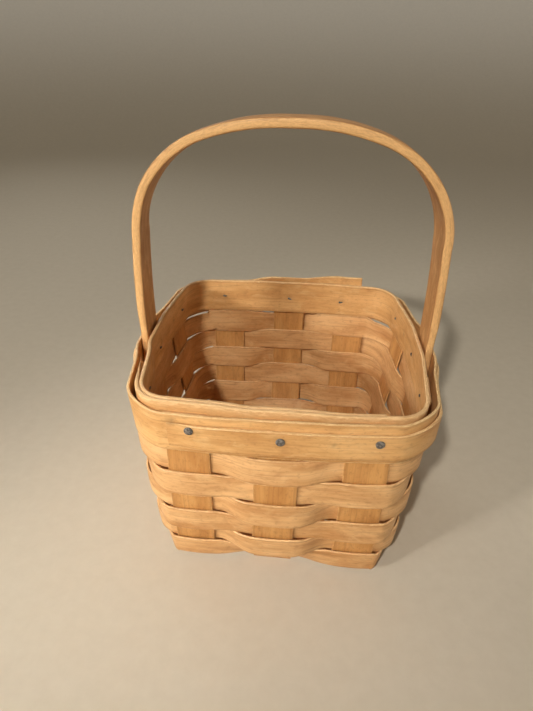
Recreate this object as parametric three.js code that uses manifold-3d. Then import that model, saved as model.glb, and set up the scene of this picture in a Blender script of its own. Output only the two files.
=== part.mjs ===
// A woven peg basket with a fixed bentwood handle, in millimetres.
// X runs to the right, Y to the back and Z up. The base rests on Z = 0, centred on X and Y,
// and the handle's arch stands across the middle from left to right.

import * as THREE from 'three';
import { mergeVertices } from 'three/addons/utils/BufferGeometryUtils.js';
import Module from 'manifold-3d';

const wasm = await Module();
wasm.setup();

// Splints of the weave
const stakeWidth = 19;
const stakeGap = 19;
const stakeThickness = 1;
const weaverWidth = 12.4;
const weaverThickness = 1;
const rowCount = 6;
const rowGap = 0.25;
const weaverEndUnder = 6.6;
const weaverEndOver = 7.6;
const baseSplintGap = 1.9;
const fillerOverhang = 1.2;
const levelEase = 0.15;

// How a weaver lies where it passes a stake: how far it leans with the wall, how much wider
// it spreads there than between stakes, and how far it bows out in front of the stake
const leanInside = 1;
const leanOutside = 0.6;
const leanLostAtCorner = 0.25;
const passSpread = 0.55;
const spreadRun = 0.2;
const passBow = 0.6;

// Shape of the walls
const baseMargin = 2.9;
const baseBend = 2.2;
const flareSides = 17.2;
const flareFrontBack = 15.8;
const curveSides = 0.62;
const curveFrontBack = 0.5;
const bellySidesMiddle = 3.5;
const bellySidesOuter = 0;
const bellyFrontBackMiddle = 5.5;
const bellyFrontBackOuter = 1.5;
const dropSides = 2.6;
const dropFrontBack = 1;
const twistSides = 7 * Math.PI / 180;
const twistFrontBack = 3.5 * Math.PI / 180;

// Rim bands
const innerBandHeight = 20.2;
const innerBandThickness = 2;
const innerBandRaise = 2.9;
const innerBandEndUnder = 11.4;
const innerBandEndOver = 5.7;
const backingHeight = 20.4;
const backingThickness = 1.2;
const backingEndLift = 5;
const backingLiftStakes = 3.2;
const backingEndOver = 5.7;
const backingEndUnder = 6.6;
const outerBandHeight = 13;
const outerBandThickness = 1.5;
const outerBandRaise = 3;
const outerBandEnd = 7.6;
const stakeTopSetback = 0.15;

// Handle
const handleWidth = 18.6;
const handleThickness = 3.5;
const handleRise = 99.6;
const handleCrownRadius = 101;
const handleShoulderRadius = 46;
const handleLean = 1.8;
const legBow = 0.45;
const handleEdge = 0.6;
const crownFlat = 8;
const crownSteps = 4;
const shoulderSteps = 9;
const legInset = 1;

// Nails
const nailHeadRadius = 1.95;
const nailHeadThickness = 0.8;
const nailHeadRim = 0.4;
const nailHeadTop = 1.35;
const nailShankRadius = 0.6;
const nailTailLength = 2.6;
const nailTailWidth = 1;
const nailTailThickness = 0.5;
const nailHeight = 0.65;
const nailSides = 10;

// How strips curve between stakes and round the corners, and in how many points
const swing = 0.4;
const innerFullness = 0.62;
const outerFullness = 0.42;
const weaverFullness = 0.46;
const weaverPointsBetween = 4;
const weaverPointsAtCorner = 5;
const bandPointsBetween = 2;
const bandPointsAtCorner = 7;

// Fits between pieces
const clearance = 0.3;
const nailFit = 0.15;
const drillSpare = 2;
const plateauMargin = 0.6;

// Sizes that follow from the values above
const stakeSpacing = stakeWidth + stakeGap;
const fillerWidth = stakeGap - 2 * baseSplintGap;
const baseHalf = stakeSpacing + stakeWidth / 2 + baseMargin;
const underLevel = stakeThickness / 2;
const overLevel = underLevel + stakeThickness + clearance;
const rowStart = overLevel + baseBend + 0.1;
const rowPitch = weaverWidth + rowGap;
const rowsTop = rowStart + rowCount * rowPitch - rowGap;
const backingBottom = rowsTop + clearance;
const innerBandBottom = backingBottom + innerBandRaise;
const innerBandTop = innerBandBottom + innerBandHeight;
const outerBandBottom = backingBottom + outerBandRaise;
const nailLevel = outerBandBottom + nailHeight * outerBandHeight;
const stakeTop = innerBandTop - stakeTopSetback;
const weaverOffset = stakeThickness / 2 + clearance + weaverThickness / 2;
const innerBandOffset = stakeThickness / 2 + clearance + innerBandThickness / 2;
const backingOffset = stakeThickness / 2 + clearance + backingThickness / 2;
const outerBandOffset = backingOffset + backingThickness / 2 + clearance + outerBandThickness / 2;
const legOffset = stakeThickness / 2 + clearance + handleThickness / 2;

// Walls in the order that a weaver meets them, seen from above and turning left
const UP = new THREE.Vector3(0, 0, 1);
const sides = {
  flare: flareSides,
  curve: curveSides,
  belly: [bellySidesMiddle, bellySidesOuter],
  drop: dropSides,
  twist: twistSides,
};
const frontBack = {
  flare: flareFrontBack,
  curve: curveFrontBack,
  belly: [bellyFrontBackMiddle, bellyFrontBackOuter],
  drop: dropFrontBack,
  twist: twistFrontBack,
};
const walls = [
  { name: 'front', out: [0, -1], along: [1, 0], ...frontBack },
  { name: 'right', out: [1, 0], along: [0, 1], ...sides },
  { name: 'back', out: [0, 1], along: [-1, 0], ...frontBack },
  { name: 'left', out: [-1, 0], along: [0, -1], ...sides },
];
const slots = [-1, 0, 1];
const slotNames = ['first', 'middle', 'last'];

// Nails sit a little off the middle of their stakes, as driven by hand
const nailShift = {
  front: [2.1, 1.3, 3],
  right: [1.5, -1, 2],
  back: [6.8, 0.4, 2.8],
  left: [-2, 1, 1.5],
};
const nailLift = {
  front: [2.2, 0, 0.8],
  right: [0.5, 0.9, 1.4],
  back: [-0.3, 0.6, 1],
  left: [1.2, -0.6, 0.4],
};

function material(color, roughness, metalness = 0) {
  return new THREE.MeshStandardMaterial({ color, roughness, metalness });
}

const finishes = {
  stake: () => material(0xc58a4a, 0.55),
  weaver: () => material(0xd09a5c, 0.55),
  band: () => material(0xd8a263, 0.5),
  handle: () => material(0xcf9450, 0.5),
  nail: () => material(0x4a4744, 0.45, 0.8),
};

const basket = new THREE.Group();
basket.name = 'peg_basket';

function addPiece(name, geometry, finish) {
  const mesh = new THREE.Mesh(geometry, finishes[finish]());
  mesh.name = name;
  basket.add(mesh);
  return mesh;
}

// A stake's middle plane at a height: its centre, the way out and the way along the wall
function stakeFrame(wall, slot, z) {
  const t = Math.min(Math.max(z / backingBottom, 0), 1);
  const outer = Math.abs(slot);
  const belly = wall.belly[outer] * 4 * t * (1 - t);
  const distance = baseHalf + wall.flare * t ** wall.curve + belly - outer * wall.drop * t;
  const turn = slot * wall.twist * t;
  const out = new THREE.Vector3(wall.out[0], wall.out[1], 0);
  const along = new THREE.Vector3(wall.along[0], wall.along[1], 0);
  const centre = out.clone().multiplyScalar(distance);
  centre.addScaledVector(along, slot * stakeSpacing);
  centre.z = z;
  out.applyAxisAngle(UP, turn);
  along.applyAxisAngle(UP, turn);
  return { centre, out, along, distance };
}

// Where a weaver that leans with the wall, or partly so, just clears a stake: the stake's
// frame moved out or in to there, with the lean of the weaver and of the stake
function passFrame(wall, slot, low, high, outside) {
  const heights = [0, 0.25, 0.5, 0.75, 1].map((share) => low + (high - low) * share);
  const distances = heights.map((z) => stakeFrame(wall, slot, z).distance);
  const stakeSlope = (distances[4] - distances[0]) / (high - low);
  const slope = stakeSlope * (outside ? leanOutside : leanInside);
  const levelled = distances.map((d, i) => d - (heights[i] - heights[2]) * slope);
  const distance = outside ? Math.max(...levelled) : Math.min(...levelled);
  const frame = stakeFrame(wall, slot, heights[2]);
  const out = new THREE.Vector3(wall.out[0], wall.out[1], 0);
  frame.centre.addScaledVector(out, distance - frame.distance);
  return { ...frame, distance, lean: Math.atan(slope), stakeLean: Math.atan(stakeSlope) };
}

// A path for a flat strip: points, with the way the strip's width lies at each of them.
// A way longer than 1 widens the strip there.
class StripPath extends THREE.Curve {
  constructor(points, widths) {
    super();
    this.points = points;
    this.widths = widths;
  }

  getSpacedPoints() {
    return this.points;
  }

  tangent(i) {
    const before = this.points[Math.max(i - 1, 0)];
    const here = this.points[i];
    const after = this.points[Math.min(i + 1, this.points.length - 1)];
    const into = here.clone().sub(before).normalize();
    const away = after.clone().sub(here).normalize();
    return into.add(away).normalize();
  }

  computeFrenetFrames() {
    const tangents = this.points.map((_, i) => this.tangent(i));
    const binormals = tangents.map((t, i) => {
      const width = this.widths[i].clone();
      return width.addScaledVector(t, -width.dot(t)).setLength(this.widths[i].length());
    });
    const normals = tangents.map((t, i) => binormals[i].clone().cross(t).normalize());
    return { tangents, normals, binormals };
  }
}

// A rectangular section with its corners eased by a small flat
function stripSection(thickness, width, edge = 0) {
  const x = thickness / 2;
  const y = width / 2;
  const shape = new THREE.Shape();
  if (edge === 0) {
    shape.moveTo(-x, -y).lineTo(x, -y).lineTo(x, y).lineTo(-x, y).closePath();
    return shape;
  }
  shape.moveTo(-x + edge, -y).lineTo(x - edge, -y).lineTo(x, -y + edge).lineTo(x, y - edge);
  shape.lineTo(x - edge, y).lineTo(-x + edge, y).lineTo(-x, y - edge).lineTo(-x, -y + edge);
  return shape.closePath();
}

function sweep(points, widths, thickness, width, edge = 0) {
  const extrudePath = new StripPath(points, widths);
  const steps = points.length - 1;
  return new THREE.ExtrudeGeometry(stripSection(thickness, width, edge), { steps, extrudePath });
}

// Points strictly between two straight stretches, on a cubic curve that leaves the one
// and meets the other along their own ways, after a reach of each
function bridge(from, fromWay, to, toWay, count, [leave, meet]) {
  const curve = new THREE.CubicBezierCurve3(
    from,
    from.clone().addScaledVector(fromWay, leave),
    to.clone().addScaledVector(toWay, -meet),
    to,
  );
  return Array.from({ length: count }, (_, i) => curve.getPoint((i + 1) / (count + 1)));
}

// Reach between two stakes of one wall, as a share of their distance
function swingReach(from, to) {
  const reach = from.distanceTo(to) * swing;
  return [reach, reach];
}

// Reach round a corner, as a share of how far each line in plan runs before they cross
function cornerReach(from, fromWay, to, toWay, fullness) {
  const gap = to.clone().sub(from);
  const cross = fromWay.x * toWay.y - fromWay.y * toWay.x;
  const first = (gap.x * toWay.y - gap.y * toWay.x) / cross;
  const second = (gap.x * fromWay.y - gap.y * fromWay.x) / cross;
  return [Math.abs(first) * fullness, Math.abs(second) * fullness];
}

// The way that a strip's width lies where it leans outwards, longer where it spreads
function widthWay(out, lean, spread) {
  const way = UP.clone().multiplyScalar(Math.cos(lean)).addScaledVector(out, Math.sin(lean));
  return way.multiplyScalar(spread / Math.cos(lean));
}

// Lays a strip round the basket: straight or bowed across each stop, curved between them.
// A stop gives a frame, its offset outwards, its height and how far it runs each way, and
// may give a lean, a bow, a spread in width and a rise that goes with that spread.
function ringPath(stops, pointsBetween, pointsAtCorner, fullness) {
  const points = [];
  const widths = [];
  let last = null;
  for (const stop of stops) {
    const { frame, wall, offset, z, from, to, lean = 0, bow = 0, spread = 0, rise = 0 } = stop;
    const { out, along } = frame;
    const place = (x) => {
      const height = bow * (1 - (x / acrossStake) ** 2);
      const point = frame.centre.clone().addScaledVector(out, offset + height);
      point.z = z + rise;
      return point.addScaledVector(along, x);
    };
    const heading = (x) => along.clone().addScaledVector(out, -2 * bow * x / acrossStake ** 2).normalize();
    const start = place(from);
    if (last) {
      const corner = last.wall !== wall;
      const way = heading(from);
      const reach = corner
        ? cornerReach(last.end, last.way, start, way, fullness)
        : swingReach(last.end, start);
      const count = corner ? pointsAtCorner : pointsBetween;
      bridge(last.end, last.way, start, way, count, reach).forEach((point, i) => {
        const t = (i + 1) / (count + 1);
        const leaving = Math.max(0, 1 - t / spreadRun);
        const meeting = Math.max(0, 1 - (1 - t) / spreadRun);
        const eased = t * t * (3 - 2 * t);
        const upright = corner ? 1 - 4 * leanLostAtCorner * t * (1 - t) : 1;
        const leanHere = (last.lean + (lean - last.lean) * eased) * upright;
        point.z = last.z + (z - last.z) * eased + last.rise * leaving + rise * meeting;
        const facing = last.out.clone().lerp(out, t).normalize();
        points.push(point);
        widths.push(widthWay(facing, leanHere, 1 + last.spread * leaving + spread * meeting));
      });
    }
    const inner = bow === 0 ? [] : [-acrossStake / 2, 0, acrossStake / 2];
    for (const x of [from, ...inner.filter((x) => x > from && x < to), to]) {
      points.push(place(x));
      widths.push(widthWay(out, lean, 1 + spread));
    }
    last = { end: place(to), way: heading(to), out, wall, z, lean, spread, rise };
  }
  return { points, widths };
}

// Stakes round the rim by number, starting at the front wall's left stake
const stakeCount = walls.length * slots.length;
const backWallStake = 2 * slots.length;
const acrossStake = stakeWidth / 2 + plateauMargin;

function stakeAt(number) {
  const n = number % stakeCount;
  return { wall: walls[Math.floor(n / slots.length)], slot: slots[n % slots.length], number: n };
}

// Weavers: each row passes outside every second stake, one stake on from the row below.
// Its ends lap outside a stake of the back wall. The lowest row doesn't spread downwards,
// nor the highest row upwards, because the base and the rim are there.
function weaverRow(row) {
  const low = rowStart + row * rowPitch;
  const high = low + weaverWidth;
  const middle = (low + high) / 2;
  const below = row === 0 ? 0 : passSpread;
  const above = row === rowCount - 1 ? 0 : passSpread;
  const spread = (below + above) / weaverWidth;
  const rise = (above - below) / 2;
  const parity = (row + rowCount) % 2;
  const lapStake = backWallStake + parity;
  const stops = [];
  for (let i = 0; i <= stakeCount; i += 1) {
    const { wall, slot, number } = stakeAt(lapStake + i);
    const outside = number % 2 === parity;
    const frame = passFrame(wall, slot, low - below, high + above, outside);
    const lap = i === stakeCount ? weaverThickness + clearance : 0;
    const clear = (weaverOffset + lap) / Math.cos(frame.stakeLean);
    const from = i === 0 ? -weaverEndUnder : -acrossStake;
    const to = i === stakeCount ? weaverEndOver : acrossStake;
    stops.push({
      frame, wall, offset: outside ? clear : -clear, z: middle, from, to,
      lean: frame.lean, bow: outside ? passBow : 0, spread, rise,
    });
  }
  const path = ringPath(stops, weaverPointsBetween, weaverPointsAtCorner, weaverFullness);
  return sweep(path.points, path.widths, weaverThickness, weaverWidth);
}

for (let row = 0; row < rowCount; row += 1) {
  addPiece(`weaver_row_${row + 1}`, weaverRow(row), 'weaver');
}

// The base: where each splint crosses the others, and whether it lies over or under
const crossings = [-2, -1, 0, 1, 2].map((index) => {
  const filler = index % 2 !== 0;
  return { index, at: index * stakeSpacing / 2, half: (filler ? fillerWidth : stakeWidth) / 2 };
});

function basePoints(index, sideways) {
  const points = [];
  for (const cross of crossings) {
    const even = (index + cross.index) % 2 === 0;
    const level = even === sideways ? overLevel : underLevel;
    for (const end of [-1, 1]) {
      points.push({ along: cross.at + end * (cross.half + levelEase), level });
    }
  }
  return points.map(({ along, level }) => (
    sideways
      ? new THREE.Vector3(along, index * stakeSpacing / 2, level)
      : new THREE.Vector3(index * stakeSpacing / 2, along, level)
  ));
}

// Frames up a wall from just above the bend at its foot to the cut top of the stake,
// one where each row meets the next, so that no row's straight back cuts into the curve
function wallPoints(wall, slot, foot) {
  const seams = Array.from({ length: rowCount }, (_, i) => rowStart + i * rowPitch);
  const heights = [foot + baseBend, ...seams, backingBottom, stakeTop];
  return heights.filter((z, i) => i === 0 || z > heights[i - 1] + clearance)
    .map((z) => stakeFrame(wall, slot, z));
}

// A stake runs down one wall, across under the base and up the opposite wall
function stakeSplint(index, sideways) {
  const foot = sideways ? overLevel : underLevel;
  const [startWall, endWall] = sideways ? [walls[3], walls[1]] : [walls[0], walls[2]];
  const across = sideways ? new THREE.Vector3(0, -1, 0) : new THREE.Vector3(1, 0, 0);
  const startSlot = (sideways ? -index : index) / 2;
  const endSlot = (sideways ? index : -index) / 2;
  const down = wallPoints(startWall, startSlot, foot).reverse();
  const up = wallPoints(endWall, endSlot, foot);
  const base = basePoints(index, sideways);
  const points = [];
  const widths = [];
  const push = (point, along) => {
    points.push(point);
    widths.push(along.clone().multiplyScalar(Math.sign(along.dot(across))));
  };
  down.forEach((frame) => push(frame.centre, frame.along));
  bend(points[points.length - 1], base[0], foot).forEach((point) => push(point, across));
  base.forEach((point) => push(point, across));
  bend(base[base.length - 1], up[0].centre, foot).forEach((point) => push(point, across));
  up.forEach((frame) => push(frame.centre, frame.along));
  return sweep(points, widths, stakeThickness, stakeWidth);
}

// The round foot between a wall and the base, on the level of the base splint
function bend(from, to, level) {
  const fromIsWall = from.z > to.z;
  const wallPoint = fromIsWall ? from : to;
  const corner = new THREE.Vector3(wallPoint.x, wallPoint.y, level);
  const basePoint = fromIsWall ? to : from;
  const inward = basePoint.clone().sub(corner).normalize().multiplyScalar(baseBend);
  const start = fromIsWall ? wallPoint : corner.clone().add(inward);
  const end = fromIsWall ? corner.clone().add(inward) : wallPoint;
  const curve = new THREE.QuadraticBezierCurve3(start, corner, end);
  const inner = [0.25, 0.5, 0.75].map((t) => curve.getPoint(t));
  return fromIsWall ? [...inner, end] : [start, ...inner];
}

const stakeNames = new Map([[-2, 'first'], [0, 'middle'], [2, 'last']]);
const stakeMeshes = [];
for (const [index, name] of stakeNames) {
  stakeMeshes.push(addPiece(`stake_front_back_${name}`, stakeSplint(index, false), 'stake'));
}
for (const [index, name] of stakeNames) {
  stakeMeshes.push(addPiece(`stake_side_side_${name}`, stakeSplint(index, true), 'stake'));
}

// Fillers close the base between the stakes and stop short of the walls
function filler(index, sideways) {
  const points = basePoints(index, sideways);
  const way = sideways ? new THREE.Vector3(1, 0, 0) : new THREE.Vector3(0, 1, 0);
  points[0].addScaledVector(way, -fillerOverhang);
  points[points.length - 1].addScaledVector(way, fillerOverhang);
  const across = sideways ? new THREE.Vector3(0, -1, 0) : new THREE.Vector3(1, 0, 0);
  return sweep(points, points.map(() => across), stakeThickness, fillerWidth);
}

addPiece('base_filler_front_back_left', filler(-1, false), 'stake');
addPiece('base_filler_front_back_right', filler(1, false), 'stake');
addPiece('base_filler_side_side_front', filler(-1, true), 'stake');
addPiece('base_filler_side_side_back', filler(1, true), 'stake');

// Rim: the frame of a stake where the bands hold it
const rimFrame = (wall, slot) => stakeFrame(wall, slot, backingBottom);
const acrossHandle = handleWidth / 2 + plateauMargin;
const isLegStop = (wall, slot) => slot === 0 && wall.out[0] !== 0;
const legRoom = handleThickness + clearance;

// The inner band starts under its own end at the front wall and goes once round
const innerLapStakes = [1, 2];

function innerBand() {
  const z = innerBandBottom + innerBandHeight / 2;
  const stops = [];
  const last = stakeCount + innerLapStakes.length - 1;
  for (let i = 0; i <= last; i += 1) {
    const { wall, slot } = stakeAt(innerLapStakes[0] + i);
    const lap = i >= stakeCount ? innerBandThickness + clearance : 0;
    const from = i === 0 ? -innerBandEndUnder : -acrossStake;
    const to = i === last ? innerBandEndOver : acrossStake;
    stops.push({ frame: rimFrame(wall, slot), wall, offset: -innerBandOffset - lap, z, from, to });
  }
  const path = ringPath(stops, bandPointsBetween, bandPointsAtCorner, innerFullness);
  return sweep(path.points, path.widths, innerBandThickness, innerBandHeight);
}

// The backing strip goes round the other way, so that its free end stands at the back right.
// Seen here in the order of the stakes, that free end comes first.
const backingLapStakes = [backWallStake, backWallStake + 1];

function backingExtra(number, layer) {
  const { wall, slot } = stakeAt(number);
  const leg = isLegStop(wall, slot) ? legRoom : 0;
  return leg + layer * (backingThickness + clearance);
}

function backingStrip() {
  const stops = [];
  const lapCount = backingLapStakes.length;
  for (let i = 0; i < stakeCount + lapCount; i += 1) {
    const number = backingLapStakes[0] + i;
    const { wall, slot } = stakeAt(number);
    const layer = i < lapCount ? 1 : 0;
    const lift = backingEndLift * Math.max(0, 1 - (i / backingLiftStakes) ** 2);
    const half = isLegStop(wall, slot) ? acrossHandle : acrossStake;
    const from = i === 0 ? -backingEndOver : -half;
    const to = i === stakeCount + lapCount - 1 ? backingEndUnder : half;
    const offset = backingOffset + backingExtra(number, layer);
    const z = backingBottom + backingHeight / 2 + lift;
    stops.push({ frame: rimFrame(wall, slot), wall, offset, z, from, to });
  }
  const path = ringPath(stops, bandPointsBetween, bandPointsAtCorner, outerFullness);
  return sweep(path.points, path.widths, backingThickness, backingHeight);
}

// The outer band starts at the front wall's left stake and stops short of that corner again
function outerBand() {
  const z = outerBandBottom + outerBandHeight / 2;
  const stops = [];
  for (let number = 0; number < stakeCount; number += 1) {
    const { wall, slot } = stakeAt(number);
    const layer = backingLapStakes.includes(number) ? 1 : 0;
    const half = isLegStop(wall, slot) ? acrossHandle : acrossStake;
    const from = number === 0 ? -outerBandEnd : -half;
    const to = number === stakeCount - 1 ? outerBandEnd : half;
    const offset = outerBandOffset + backingExtra(number, layer);
    stops.push({ frame: rimFrame(wall, slot), wall, offset, z, from, to });
  }
  const path = ringPath(stops, bandPointsBetween, bandPointsAtCorner, outerFullness);
  return sweep(path.points, path.widths, outerBandThickness, outerBandHeight);
}

const innerBandMesh = addPiece('rim_inner_band', innerBand(), 'band');
const backingMesh = addPiece('rim_backing_strip', backingStrip(), 'band');
const outerBandMesh = addPiece('rim_outer_band', outerBand(), 'band');

// Handle: a leg up from the rim, a shoulder arc, the crown arc and down again
const legCentre = rimFrame(walls[1], 0).distance + legOffset;
const shoulderHalf = legCentre - handleLean;
const crownHeight = innerBandTop + handleRise - handleThickness / 2;

function handlePath() {
  const crown = handleCrownRadius;
  const shoulder = handleShoulderRadius;
  const crownMiddle = crownHeight - crown;
  const shoulderX = shoulderHalf - shoulder;
  const turn = Math.asin((shoulderX - crownFlat / 2) / (crown - shoulder));
  const shoulderZ = crownMiddle + (crown - shoulder) * Math.cos(turn);
  const half = [];
  half.push(new THREE.Vector3(crownFlat / 2, 0, crownHeight));
  for (let i = 1; i <= crownSteps; i += 1) {
    const a = turn * i / crownSteps;
    const x = crownFlat / 2 + crown * Math.sin(a);
    half.push(new THREE.Vector3(x, 0, crownMiddle + crown * Math.cos(a)));
  }
  for (let i = 1; i <= shoulderSteps; i += 1) {
    const a = turn + (Math.PI / 2 - turn) * i / shoulderSteps;
    const x = shoulderX + shoulder * Math.sin(a);
    half.push(new THREE.Vector3(x, 0, shoulderZ + shoulder * Math.cos(a)));
  }
  const legMiddle = legCentre - handleLean * legBow;
  half.push(new THREE.Vector3(legMiddle, 0, (shoulderZ + innerBandTop) / 2));
  half.push(new THREE.Vector3(legCentre, 0, innerBandTop + handleLean));
  half.push(new THREE.Vector3(legCentre, 0, innerBandBottom + legInset));
  const left = half.map((p) => new THREE.Vector3(-p.x, 0, p.z)).reverse();
  return [...left, ...half];
}

const handlePoints = handlePath();
const handleAcross = new THREE.Vector3(0, 1, 0);
const handleWidths = handlePoints.map(() => handleAcross);
const handleShape = sweep(handlePoints, handleWidths, handleThickness, handleWidth, handleEdge);
const handleMesh = addPiece('handle', handleShape, 'handle');

// Nails: one through every stake, with a flat round head and a clinched tail
function toSolid(geometry) {
  const bare = geometry.clone();
  bare.deleteAttribute('normal');
  bare.deleteAttribute('uv');
  const merged = mergeVertices(bare, 1e-4);
  const vertProperties = Float32Array.from(merged.attributes.position.array);
  const triVerts = Uint32Array.from(merged.index.array);
  return new wasm.Manifold(new wasm.Mesh({ numProp: 3, vertProperties, triVerts }));
}

function fromSolid(solid) {
  const mesh = solid.getMesh();
  const geometry = new THREE.BufferGeometry();
  geometry.setAttribute('position', new THREE.BufferAttribute(mesh.vertProperties, 3));
  geometry.setIndex(new THREE.BufferAttribute(mesh.triVerts, 1));
  geometry.computeVertexNormals();
  return geometry;
}

// A nail's own axis: Y points out of the basket, zero is on the middle of the stake
function nailPlace(wall, slot) {
  const frame = rimFrame(wall, slot);
  const shift = nailShift[wall.name][slot + 1];
  const origin = frame.centre.clone().addScaledVector(frame.along, shift);
  origin.z = nailLevel + nailLift[wall.name][slot + 1];
  const matrix = new THREE.Matrix4().makeBasis(frame.along.clone().negate(), frame.out, UP);
  return matrix.setPosition(origin);
}

function nailReach(number) {
  const layer = backingLapStakes.includes(number) ? 1 : 0;
  const outer = outerBandOffset + outerBandThickness / 2 + backingExtra(number, layer);
  const doubled = innerLapStakes.includes(number);
  const innerLap = doubled ? innerBandThickness + clearance : 0;
  const inner = -innerBandOffset - innerBandThickness / 2 - innerLap;
  return { outer, inner };
}

function nailShape({ outer, inner }) {
  const seat = outer + nailFit;
  const tail = inner - nailFit;
  const profile = [
    [0, tail - nailTailThickness],
    [nailShankRadius, tail - nailTailThickness],
    [nailShankRadius, seat],
    [nailHeadRadius, seat],
    [nailHeadRadius, seat + nailHeadRim],
    [nailHeadTop, seat + nailHeadThickness],
    [0, seat + nailHeadThickness],
  ].map(([r, y]) => new THREE.Vector2(r, y));
  const turned = toSolid(new THREE.LatheGeometry(profile, nailSides));
  const bar = new THREE.BoxGeometry(nailTailLength, nailTailThickness, nailTailWidth);
  bar.translate(nailTailLength / 2 - nailShankRadius / 2, tail - nailTailThickness / 2, 0);
  return fromSolid(turned.add(toSolid(bar)));
}

const drills = [];
for (const wall of walls) {
  for (const slot of slots) {
    const number = walls.indexOf(wall) * slots.length + slots.indexOf(slot);
    const place = nailPlace(wall, slot);
    const reach = nailReach(number);
    const shape = nailShape(reach).applyMatrix4(place);
    addPiece(`nail_${wall.name}_${slotNames[slot + 1]}`, shape, 'nail');
    const depth = reach.outer - reach.inner + drillSpare;
    const radius = nailShankRadius + nailFit;
    const drill = new THREE.CylinderGeometry(radius, radius, depth, nailSides);
    drill.translate(0, (reach.outer + reach.inner) / 2, 0);
    drills.push(toSolid(drill.applyMatrix4(place)));
  }
}

// Every splint that a nail goes through is drilled for it
const allDrills = wasm.Manifold.union(drills);
for (const mesh of [...stakeMeshes, innerBandMesh, backingMesh, outerBandMesh, handleMesh]) {
  mesh.geometry = fromSolid(toSolid(mesh.geometry).subtract(allDrills));
}

export default basket;
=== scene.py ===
"""A small woven peg basket with a fixed bentwood handle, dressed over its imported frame.

Every strip is cut flat at its real size, its edges are rounded, and it is then bent along
its way through the basket. Lengths of the basket are in millimetres, and a form comes to
metres when it is laid in its place. The floor and the lamps are placed in metres.
"""
import math

import bmesh
import bpy
from mathutils import Matrix, Vector, noise


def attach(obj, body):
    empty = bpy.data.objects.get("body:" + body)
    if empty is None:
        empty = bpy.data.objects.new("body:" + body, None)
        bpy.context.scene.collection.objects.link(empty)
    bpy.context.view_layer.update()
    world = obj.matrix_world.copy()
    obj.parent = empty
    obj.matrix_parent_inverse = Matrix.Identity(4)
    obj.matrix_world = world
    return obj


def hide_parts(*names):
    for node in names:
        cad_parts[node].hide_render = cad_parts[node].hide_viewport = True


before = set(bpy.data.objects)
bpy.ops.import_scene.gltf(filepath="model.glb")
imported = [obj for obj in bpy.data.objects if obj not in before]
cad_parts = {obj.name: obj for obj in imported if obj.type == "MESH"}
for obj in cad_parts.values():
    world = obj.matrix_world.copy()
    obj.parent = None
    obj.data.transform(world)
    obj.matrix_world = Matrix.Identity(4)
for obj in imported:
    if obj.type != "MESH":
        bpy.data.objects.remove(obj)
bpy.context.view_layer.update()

MM = 0.001
UP = Vector((0, 0, 1))
TO_RIGHT = Vector((1, 0, 0))
TO_FRONT = Vector((0, -1, 0))

# Splints of the weave
STAKE_WIDTH = 19
STAKE_GAP = 19
STAKE_THICKNESS = 1
WEAVER_WIDTH = 12.4
WEAVER_THICKNESS = 1
ROW_COUNT = 6
ROW_GAP = 0.25
WEAVER_END_UNDER = 6.6
WEAVER_END_OVER = 7.6
BASE_SPLINT_GAP = 1.9
FILLER_OVERHANG = 2.7
FILLER_CURL = 1.1
LEVEL_EASE = 0.15

# How a weaver leans and bows where it passes a stake
LEAN_INSIDE = 1
LEAN_OUTSIDE = 0.6
LEAN_LOST_AT_CORNER = 0.25
PASS_BOW = 0.6
PASS_RISE = 0.22

# How much wider its passes are below and above, and how far on to the next stake that runs
PASS_SPREAD = dict(front=0.7, right=1.2, back=0.9, left=0.9)
SPREAD_RUN = dict(front=0.3, right=0.6, back=0.55, left=0.6)
OPEN_CORNER_RUN = dict(left=0.1, back=0.25)
FIRST_ROW_BELOW = dict(front=0, right=1, back=1, left=1)
SECOND_ROW_BELOW = 1.4
TOP_ROW_ABOVE = dict(front=0, right=1.6, back=0, left=1.6)
TOP_ROW_INSIDE = dict(below=0.4, above=2.2, run=0.9)

# Shape of the walls
BASE_MARGIN = 2.9
BASE_BEND = 2.2
SIDES = dict(flare=17.2, curve=0.62, belly=(3.5, 0), drop=2.6, twist=math.radians(7))
FRONT_BACK = dict(flare=15.8, curve=0.5, belly=(5.5, 1.5), drop=1, twist=math.radians(3.5))

# Rim bands
INNER_HEIGHT = 20.2
INNER_THICKNESS = 1.75
INNER_RAISE = 2.9
INNER_START_UNDER = 6
INNER_END_OVER = 5.7
INNER_START_SHAVED = 20
INNER_START_LEFT = 0.08
INNER_END_SHAVED = 62
INNER_END_LEFT = 0.43
RIM_SANDED = 3.4
RIM_SANDED_FADE = 1.2
RIM_TOP_SANDED = 0.5
RIM_TOP_FADE = 0.3
BACKING_HEIGHT = 20.4
BACKING_THICKNESS = 1.2
BACKING_END_LIFT = 5.8
BACKING_LIFT_STAKES = 2.5
BACKING_END_OVER = 5.7
BACKING_END_UNDER = 6.6
OUTER_HEIGHT = 13
OUTER_THICKNESS = 1.5
OUTER_RAISE = 3
OUTER_END = 7.6
OUTER_END_SHAVED = 15
OUTER_END_LEFT = 0.1
STAKE_TOP_SETBACK = 0.9
STAKE_TOP_RUBBED = 2
STAKE_TOP_RUB_FADE = 1.5
STAKE_TOP_RUB = 0.5

# Handle
HANDLE_WIDTH = 18.6
HANDLE_THICKNESS = 3.5
HANDLE_RISE = 99.6
CROWN_RADIUS = 101
SHOULDER_RADIUS = 46
HANDLE_LEAN = 1.8
LEG_STRAIGHTENS = 0.2
CROWN_FLAT = 8
LEG_INSET = 1
HANDLE_SWELL = 0.6
SWELL_START = 20
SWELL_RUN = 14
CROWN_STEPS, SHOULDER_STEPS, LEG_STEPS, FOOT_STEPS = 18, 30, 15, 9

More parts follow.
